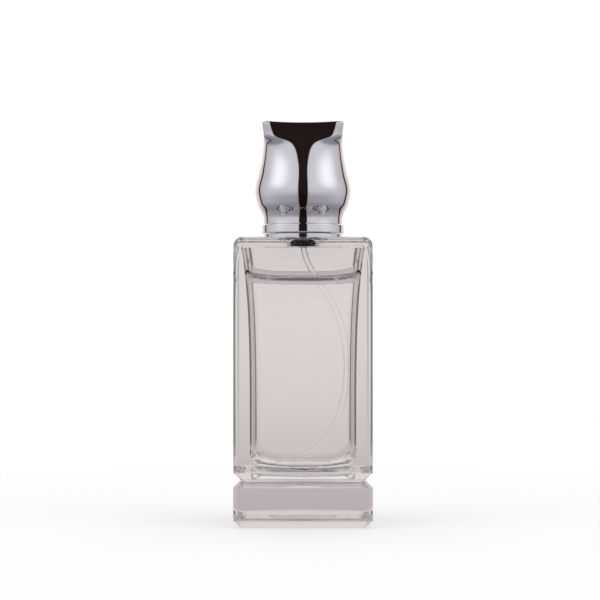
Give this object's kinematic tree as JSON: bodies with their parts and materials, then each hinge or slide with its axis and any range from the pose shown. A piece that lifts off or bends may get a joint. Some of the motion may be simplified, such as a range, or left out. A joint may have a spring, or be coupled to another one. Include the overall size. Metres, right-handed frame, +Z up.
{
  "type": "aftershave spray bottle",
  "caption": "Square clear-glass spray bottle with a heavy grooved base block, a mirror-chrome tulip cap that lifts off, and a crimped fine-mist pump with a curled dip tube.",
  "frame": {"origin": "Middle of the base, on the surface that the bottle stands on", "axes": "+Z up along the axis of the neck, -Y out of the front face, +X to the right seen from the front"},
  "size_m": [0.05, 0.05, 0.1468],
  "materials": {
    "flint_glass": "fire-polished clear flint glass",
    "aftershave": "clear, nearly colourless liquid",
    "clear_tube": "extruded clear tube",
    "gasket_rubber": "moulded rubber, matt",
    "bright_aluminium": "drawn and bright anodised",
    "collar_aluminium": "drawn and polished",
    "natural_polypropylene": "moulded, milky natural",
    "white_polypropylene": "moulded white",
    "white_acetal": "moulded white",
    "spring_steel": "bright drawn stainless wire",
    "chrome_plated_abs": "polished mirror chrome plate on moulded ABS"
  },
  "bodies": {
    "bottle": {"glass_bottle": "flint_glass", "aftershave_fill": "aftershave", "dip_tube": "clear_tube", "neck_gasket": "gasket_rubber", "crimp_ferrule": "bright_aluminium", "pump_housing": "natural_polypropylene", "pump_turret": "white_acetal", "stem_gasket": "gasket_rubber", "return_spring": "spring_steel", "collar_shell": "collar_aluminium", "collar_insert": "natural_polypropylene"},
    "stem": {"pump_stem": "white_acetal", "piston_spring": "spring_steel"},
    "piston": {"pump_piston": "natural_polypropylene"},
    "ball": {"inlet_ball": "spring_steel"},
    "actuator": {"actuator_button": "white_polypropylene", "actuator_sleeve": "bright_aluminium", "nozzle_insert": "white_acetal"},
    "cap": {"cap_shell": "chrome_plated_abs", "cap_liner": "white_polypropylene"}
  },
  "joints": [
    {"name": "pump_press", "type": "slide", "parent": "bottle", "child": "stem", "axis": [0, 0, -1], "range_m": [0, 0.0035], "stiffness_N_per_m": 900, "springref_m": -0.0008, "deforming": ["return_spring"]},
    {"name": "piston_lag", "type": "slide", "parent": "stem", "child": "piston", "axis": [0, 0, 1], "range_m": [0, 0.00045], "deforming": ["piston_spring"]},
    {"name": "actuator_turn", "type": "hinge", "parent": "stem", "child": "actuator", "pos_m": [0, 0, 0.12675], "axis": [0, 0, 1], "continuous": true},
    {"name": "inlet_ball_lift", "type": "slide", "parent": "bottle", "child": "ball", "axis": [0, 0, 1], "range_m": [0, 0.0007]},
    {"name": "cap_lift", "type": "slide", "parent": "bottle", "child": "cap", "axis": [0, 0, 1], "range_m": [0, 0.04]}
  ],
  "couplings": [
    {"joint": "piston_lag", "follows": "pump_press", "ratio": 0.12857}
  ]
}
